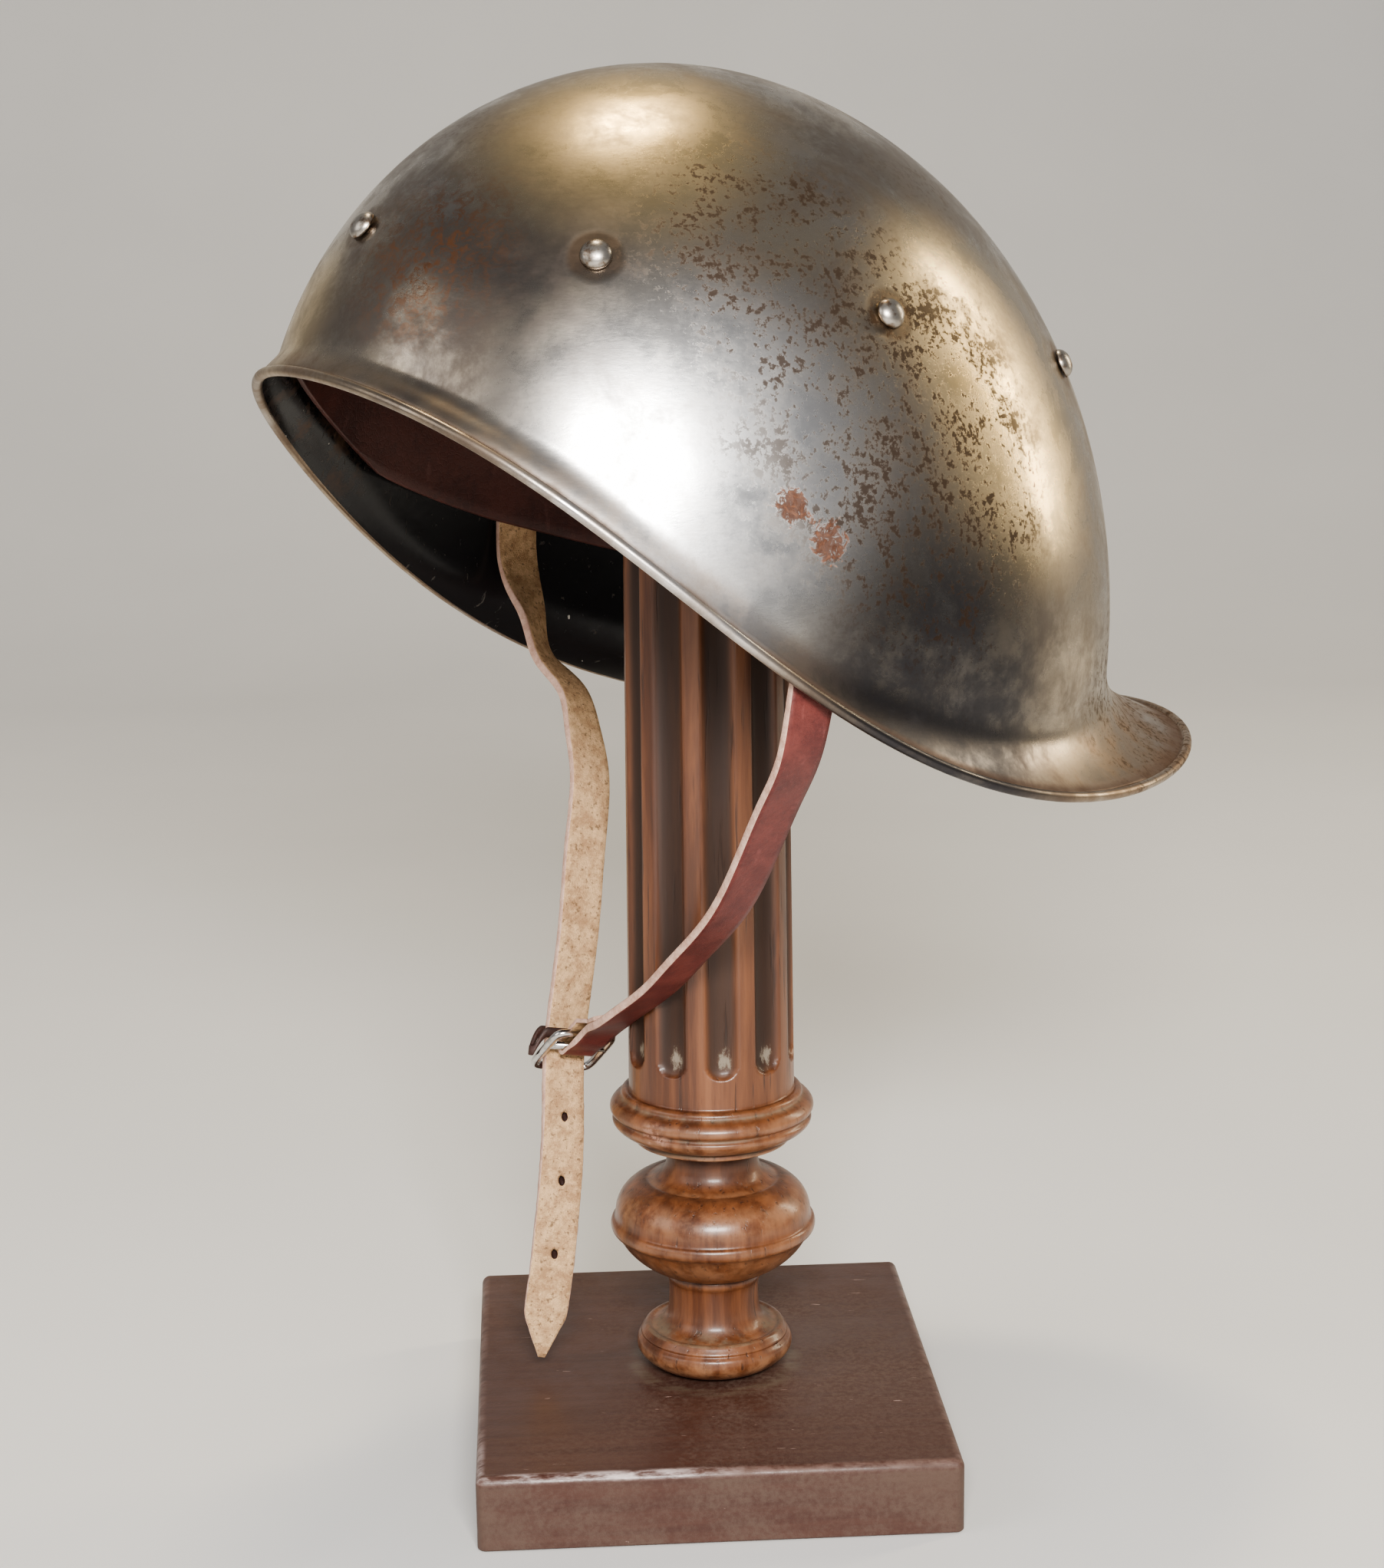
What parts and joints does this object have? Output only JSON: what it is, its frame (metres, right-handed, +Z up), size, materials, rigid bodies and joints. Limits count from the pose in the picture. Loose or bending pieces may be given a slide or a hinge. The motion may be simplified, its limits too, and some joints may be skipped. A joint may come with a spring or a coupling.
{
  "type": "skull-cap helmet (cervelliere) on a turned wooden stand",
  "caption": "Steel skull-cap helmet with a flared rolled rim, riveted leather liner band and buckled leather chin strap, held on a fluted wooden column with a square base.",
  "frame": {"origin": "centre of the underside of the square base", "axes": "+Z up along the column, +X and +Y along the sides of the base; the helmet's nape points towards +X turned a quarter way to +Y, and its chin strap hangs on the -X side of the column"},
  "size_m": [0.2617, 0.226, 0.384],
  "materials": {
    "skull_steel": "polished plate steel with pitting, light rust and a black-painted inside",
    "rivet_steel": "polished domed heads",
    "liner_leather": "smooth dark red-brown leather",
    "strap_leather_red": "smooth oxblood grain side, pale cut edges",
    "strap_leather_tan": "tan flesh side, pale cut edges",
    "keeper_leather": "dark brown leather loop",
    "buckle_steel": "polished wire",
    "column_wood": "turned brown wood, satin varnish",
    "base_wood": "dark red-brown varnished wood, scuffed"
  },
  "bodies": {
    "root": {"skull": "skull_steel", "liner": "liner_leather", "strap_left": "strap_leather_red", "strap_right": "strap_leather_tan", "buckle_frame": "buckle_steel", "strap_keeper": "keeper_leather", "stand_column": "column_wood", "stand_base": "base_wood", "rivet_1": "rivet_steel", "rivet_2": "rivet_steel", "rivet_3": "rivet_steel", "rivet_4": "rivet_steel", "rivet_5": "rivet_steel", "rivet_6": "rivet_steel", "rivet_7": "rivet_steel", "rivet_8": "rivet_steel"}
  },
  "joints": []
}
